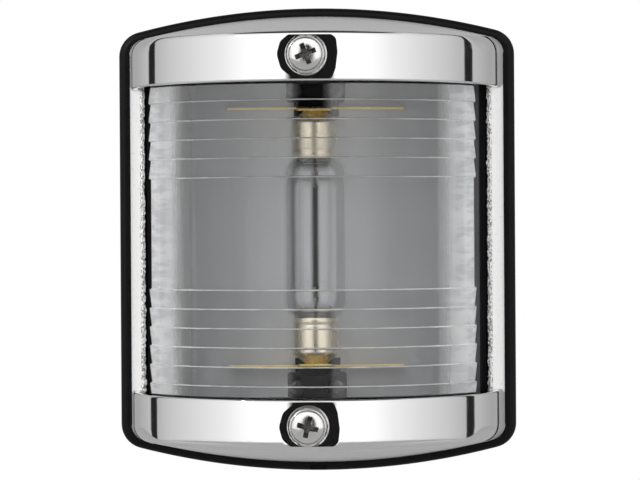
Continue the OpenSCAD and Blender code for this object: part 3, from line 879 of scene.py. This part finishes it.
def cap_skin(inset, wall_rows, fillet_rows, top_rows):
    """Columns of points up the wall, round the fillet and back over the sloping end."""
    columns = []
    low, least = WINDOW + (LIP_IN if inset else LIP_OUT), 0.12
    for x, d, n in plan_stations(inset):
        r = max(fillet_at(x, d) - inset, least)
        at_rim = d <= FLANGE_D
        cx, cd = x - n.x * r, d if at_rim else d - n.y * r
        m = end_normal(cx, cd)
        cz = end_height(cx, cd, inset) - r / m.z
        wall = Vector((n.x, n.y, 0))
        if at_rim:
            wall, m = Vector((math.copysign(1, x), 0, 0)), Vector((m.x, 0, m.z)).normalized()
        column = [(x, d, low + (cz - low) * k / (wall_rows - 1)) for k in range(wall_rows)]
        for k in range(1, fillet_rows + 1):
            w = between(wall, m, wall.angle(m), k / fillet_rows)
            column.append((cx + w.x * r, cd + w.y * r, cz + w.z * r))
        columns.append(column)
    first, last = columns[0][-1][0], columns[-1][-1][0]
    for i, column in enumerate(columns):
        edge_x, edge_d, _ = column[-1]
        back_x = first + (last - first) * i / (len(columns) - 1)
        for k in range(1, top_rows + 1):
            t = k / top_rows
            x, d = edge_x + (back_x - edge_x) * t, edge_d + (FLANGE_D - edge_d) * t
            column.append((x, d, end_height(x, d, inset)))
    return columns


def lip(x, d, normal, start, turn, n):
    """Points round an edge of the window, from an inset of start + turn to nearly start."""
    points = []
    for k in range(n):
        a = math.pi / 2 * k / n
        inset = start + turn * (1 - math.sin(a))
        points.append((x - normal.x * inset, d - normal.y * inset if d > FLANGE_D else d,
                       WINDOW + abs(turn) * (1 - math.cos(a))))
    return points


def cap_mesh(name, side):
    """One end of the cover, as a closed shell: inner skin, window edge and outer skin."""
    rows, n = (7, 10, 16), 4
    outer, inner = cap_skin(0, *rows), cap_skin(STEEL, *rows)
    columns = []
    for out, within, station in zip(outer, inner, plan_stations(0)):
        edge = lip(*station, STEEL, -LIP_IN, n)[::-1] + lip(*station, 0, LIP_OUT, n)
        columns.append(within[::-1] + edge + out)
    count, cols, half = len(columns), len(columns[0]), len(inner[0]) + n
    verts = [(x, d, side * z) for column in columns for x, d, z in column]
    faces = grid_faces(count, cols)
    for start in (0, (count - 1) * cols):  # the shell's left and right edges
        for k in range(half - 1):
            faces.append((start + half - 1 - k, start + half + k, start + half + k + 1, start + half - 2 - k))
    for i in range(count - 1):  # and its back edge
        faces.append((i * cols, (i + 1) * cols, (i + 1) * cols + cols - 1, i * cols + cols - 1))
    return mesh_object(name, verts, faces)


def seat_outline(side):
    """Outline of a screw's seat: round on the left, nearly upright on the right."""
    pts = [(-2.2, SEAT_LOW), (-4.3, 29.6), (-5.0, 32.1), (-4.4, 34.3), (-3.0, SEAT_TOP), (4.4, SEAT_TOP),
           (5.25, 34.9), (5.5, 32.4), (5.15, 29.6), (4.5, SEAT_LOW)]
    return [(x, side * z) for x, z in rounded(pts, [0.9, 2.0, 2.0, 1.6, 0.9, 0.6, 1.2, 2.0, 1.2, 0.6], 6)]


def make_cap(side, word):
    cap = cap_mesh(f"{word}_cover_end", side)
    disc = [(x, side * min(max(z, WINDOW + 0.35), SEAT_TOP)) for x, z in circle(0, SCREW_Z, 6.4, 72)]
    far = 60  # clear of the front
    add(cap, prism("tool", disc, SEAT_D - STEEL, 46.25, "d"))
    cut(cap, prism("tool", seat_outline(side), SEAT_D, far, "d"), peg(0, side * SCREW_Z, 2.0, (40, far), 40))
    smooth(cap, 32, False)
    set_wall_normals(cap)
    finish_piece(cap, "cover_body", "polished_steel", "polished_steel", "cover")
    paint(cap, "end_steel", lambda mid, n: side * n.z > 0.93 or mid.y < LAMP_D - 1)


def set_wall_normals(cap):
    """Exact normals on the upright curved wall, so that its mirror reflections run true past the seat."""
    mesh = cap.data
    close, low = 0.01, WINDOW + LIP_OUT
    normals = [(0.0, 0.0, 0.0)] * len(mesh.loops)
    for face in mesh.polygons:
        for k in face.loop_indices:
            x, y, z = mesh.vertices[mesh.loops[k].vertex_index].co / MM
            radial = Vector((x, y + LAMP_D, 0))
            high = end_height(x, -y, 0) - fillet_at(x, -y) * 1.02
            if abs(radial.length - DOME_R) < close and -y > LAMP_D and low - close < abs(z) < high:
                radial.normalize()
                if face.normal.dot(radial) > 0.98:
                    normals[k] = tuple(radial)
    mesh.normals_split_custom_set(normals)


def make_rim(side, word):
    """One low side rim, with a rough sheared edge along its crest."""
    section = [  # x, d and how far the point strays
        (RIM_X, FLANGE_D, 0), (34.18, 8.7, 0), (33.85, 9.5, 0), (33.3, 10.35, 0), (32.7, 11.2, 0),
        (32.15, 11.9, 0.05), (31.95, 12.05, 0.11), (31.6, 12.08, 0.15), (31.3, 12.0, 0.20),
        (31.45, 11.75, 0.12), (32.0, 10.9, 0), (32.5, 10.05, 0), (32.95, 9.3, 0), (DOME_R, FLANGE_D, 0)]
    steps = 330
    rings = []
    for i in range(steps + 1):
        z = RIM_Z * (2 * i / steps - 1)
        slow = noise.noise(Vector((side * 3.0, 0.0, z * 0.25)))
        ring = []
        for k, (x, d, stray) in enumerate(section):
            at = Vector((side * 7.0 + k * 0.35, 1.7, z * 1.9))
            x += stray * (noise.noise(at) + 0.5 * noise.noise(at * 2.7) + 0.7 * slow)
            d += stray * 0.6 * noise.noise(at + Vector((9.1, 4.2, 0)))
            ring.append((side * x, d, z))
        rings.append(ring)
    rim = loft(f"{word}_rim", rings)
    smooth(rim, 50, False)
    finish_piece(rim, "cover_body", "satin_steel", "polished_steel", "cover")
    paint(rim, "cut_steel", lambda mid, n: mid.y > 11.7 and abs(mid.x) < 32.35 and n.y > -0.3)


# ---------------------------------------------------------------- cover screws
def make_screw(side, word, turn):
    """A cover screw with a domed head in a raised ring, and its cross recess at turn degrees."""
    z, tip = side * SCREW_Z, HEAD_D - SHANK_LEN
    profile = [(POLE, tip), (SHANK_R - 0.35, tip), (SHANK_R, tip + 0.5)]
    flanks, half_pitch, thread_h, first = 35, 0.35, 0.28, 0.8
    profile += [(SHANK_R - k % 2 * thread_h, tip + first + half_pitch * k) for k in range(flanks)]
    profile += [(SHANK_R, HEAD_D - 2.0), (SHANK_R, HEAD_D)]
    ring = ((0.15, 0), (0, 0.12), (0.02, 0.4), (0.12, 0.85), (0.32, 1.25), (0.52, 1.5), (0.66, 1.6),
            (0.72, 1.35), (0.85, 1.35))
    profile += [(HEAD_R - inset, HEAD_D + h) for inset, h in ring]
    dome_r, dome_h, n_dome = 2.76, 1.68, 10
    for k in reversed(range(n_dome + 1)):
        a = math.pi / 2 * k / n_dome
        height = dome_h + (HEAD_H - dome_h) * math.cos(a) ** 1.3
        profile.append((max(dome_r * math.sin(a), POLE), HEAD_D + height))
    screw = revolve(f"{word}_screw", profile, (0, 0, z), "d", 96)
    arms = ((1.1, 0.3, 0.55), (1.75, 0.4, 1.6), (1.95, 0.5, 2.9))  # half length, half width, height
    for quarter in (0, 90):
        a = math.radians(turn + quarter)
        rings = [[(u * math.cos(a) + w * math.sin(a), HEAD_D + h, z - u * math.sin(a) + w * math.cos(a))
                  for u, w in rect(span(length), span(width))] for length, width, h in arms]
        cut(screw, loft("tool", rings))
    core = ((0.25, 0.35), (0.6, 1.2), (0.85, 2.9))  # radius, height
    cut(screw, loft("tool", [[(x, HEAD_D + h, w) for x, w in circle(0, z, r, 32)] for r, h in core]))
    bevel(screw, 0.05, 45)
    smooth(screw, 40)
    finish_piece(screw, f"{word}_screw_body", "screw_steel", "steel", f"{word}_cover_screw")
    # painted shade in the cross recess of the cover screw
    paint(screw, "dark_steel_and_recess_shade",
          lambda mid, n: HEAD_D + 0.2 < mid.y < HEAD_D + 1.62 and math.hypot(mid.x, mid.z - z) < 2.4)


def make_screw_seal(side, word):
    hole, rim, back, front = 1.85, 3.35, SEAT_D, SEAT_D + 0.4
    profile = [(hole, back), (rim - 0.05, back), (rim, back + 0.08), (rim, front - 0.08), (rim - 0.05, front),
               (hole, front)]
    seal = revolve(f"{word}_seal_ring", profile, (0, 0, side * SCREW_Z), "d", 64)
    smooth(seal, 35)
    finish_piece(seal, "cover_body", "rubber", "rubber", f"{word}_screw_seal")


# ---------------------------------------------------------------- studio and camera
def make_world():
    """Studio light by direction: dim round the camera, then broad panels, a narrow black gap, and grey."""
    world = bpy.data.worlds.new("studio")
    bpy.context.scene.world = world
    world.use_nodes = True
    world.node_tree.nodes.clear()
    nodes = Nodes(world.node_tree)
    calc = nodes.calc
    direction = nodes.node("ShaderNodeTexCoord").outputs["Generated"]
    x, y, z = nodes.node("ShaderNodeSeparateXYZ", Vector=direction).outputs
    # On the right the pattern comes closer round to the camera. Above and below it keeps further away.
    right = calc("MULTIPLY", calc("POWER", calc("MAXIMUM", x, 0.0), 3.0), 0.11)
    tall = calc("MULTIPLY", calc("MULTIPLY", z, z), 0.3)
    facing = calc("SUBTRACT", calc("ADD", y, right), tall)
    ramp = nodes.node("ShaderNodeValToRGB", Fac=nodes.remap(facing, 1.0, -1.0, 0.0, 1.0))
    stops = [  # degrees off the camera's direction, grey level
        (0, 0.012), (13.0, 0.014), (15.5, 1.3), (36, 1.27), (56, 1.02), (78, 0.84), (100, 0.68),
        (115.6, 0.54), (116.4, 0.02), (124, 0.02), (125, 0.60), (150, 0.42), (180, 0.42)]
    # Facing the camera means y = -1, and the ramp runs from there (1) to straight behind (0).
    marks = sorted(((1 + math.cos(math.radians(a))) / 2, v) for a, v in stops)
    elements = ramp.color_ramp.elements
    while len(elements) < len(marks):
        elements.new(0.5)
    for e, (at, v) in zip(elements, marks):
        e.position, e.color = at, (v, v, v * 1.005, 1)
    # Black flags straight overhead and underneath.
    steep = calc("MAXIMUM", calc("SUBTRACT", calc("ABSOLUTE", z), 0.86), 0.0)
    flag = calc("MINIMUM", calc("MULTIPLY", steep, 25.0), 1.0)
    strength = calc("SUBTRACT", 1.0, calc("MULTIPLY", flag, 0.95))
    studio = nodes.node("ShaderNodeBackground", Color=ramp.outputs["Color"], Strength=strength)
    white = nodes.node("ShaderNodeBackground", Color=(1, 1, 1, 1))
    shown = nodes.node("ShaderNodeMixShader")
    seen = nodes.node("ShaderNodeLightPath").outputs["Is Camera Ray"]
    for socket, output in zip(shown.inputs, (seen, studio.outputs[0], white.outputs[0])):
        nodes.feed(output, socket)
    nodes.node("ShaderNodeOutputWorld", Surface=shown.outputs[0])


def area_light(name, position, size, power):
    """A round light that faces the middle of the object."""
    data = bpy.data.lights.new(name, "AREA")
    data.shape, data.size, data.energy = "DISK", size, power
    obj = link_object(name, data)
    obj.location = position
    obj.rotation_mode = "QUATERNION"
    obj.rotation_quaternion = (-Vector(position)).to_track_quat("-Z", "Y")
    return obj


def make_studio():
    """Small keys for bright points on the metal, and wide fills that give light but no reflection."""
    make_world()
    for side in (-1, 1):
        key = area_light(f"key_{side}", (-0.45, -0.45, side * 0.33), 0.03, 1.0)
        key.visible_diffuse = key.visible_transmission = False
    for side in (-1, 1):
        fill = area_light(f"fill_{side}", (side * 0.48, -0.12, 0), 0.4, 0.65)
        fill.visible_glossy = fill.visible_transmission = False
    floor_z, radius, rings, sides = -0.13, 0.9, 14, 72
    verts = [(0, 0, floor_z)]
    for i in range(1, rings + 1):
        verts += [(x, y, floor_z) for x, y in circle(0, 0, radius * i / rings, sides)]
    faces = [(0, 1 + k, 1 + (k + 1) % sides) for k in range(sides)] + grid_faces(rings, sides, 1, wrap=True)
    mesh = bpy.data.meshes.new("floor")
    mesh.from_pydata(verts, [], faces)
    mesh.materials.append(MAT["pale_floor"])
    link_object("floor", mesh)


def make_camera():
    data = bpy.data.cameras.new("camera")
    cam = link_object("camera", data)
    azimuth, elevation, roll, away = math.radians(2.6), math.radians(0.3), math.radians(0.35), 0.6002
    back = Vector((math.sin(azimuth) * math.cos(elevation), -math.cos(azimuth) * math.cos(elevation),
                   math.sin(elevation)))
    cam.location = Vector((0, -FLANGE_D * MM, 0)) + back * away
    cam.rotation_mode = "QUATERNION"
    turn = (-back).to_track_quat("-Z", "Y").to_matrix() @ Matrix.Rotation(-roll, 3, "Z")
    cam.rotation_quaternion = turn.to_quaternion()
    data.lens, data.sensor_width = 183.7, 36.0
    data.shift_x, data.shift_y = 0.0048, -0.0011
    data.clip_start, data.clip_end = 0.01, 10
    scene = bpy.context.scene
    scene.camera = cam
    scene.view_settings.view_transform = "Standard"
    scene.cycles.max_bounces = scene.cycles.transmission_bounces = 28
    scene.cycles.transparent_max_bounces = 40


def paint_cad_nodes():
    """Materials for the CAD nodes that are shown as they are."""
    finishes = {"cover_posts": "black_plastic", "post_inserts": "brass", "lens_seal": "seal_rubber"}
    for node, finish in finishes.items():
        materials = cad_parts[node].data.materials
        materials.clear()
        materials.append(MAT[finish])


make_base()
make_gasket()
make_grommet()
make_reflector()
for side, word in ((1, "upper"), (-1, "lower")):
    make_holder(side, word)
    make_contact(side, word)
make_holder_screws()
make_bulb()
for side, word in ((1, "upper"), (-1, "lower")):
    make_lamp_cap(side, word)
make_filament()
make_leads()
make_beads()
make_lens()
for side, word, turn in ((1, "upper", -21), (-1, "lower", 14)):
    make_cap(side, word)
    make_screw(side, word, turn)
    make_screw_seal(side, word)
for side, word in ((-1, "left"), (1, "right")):
    make_rim(side, word)
paint_cad_nodes()
make_studio()
make_camera()
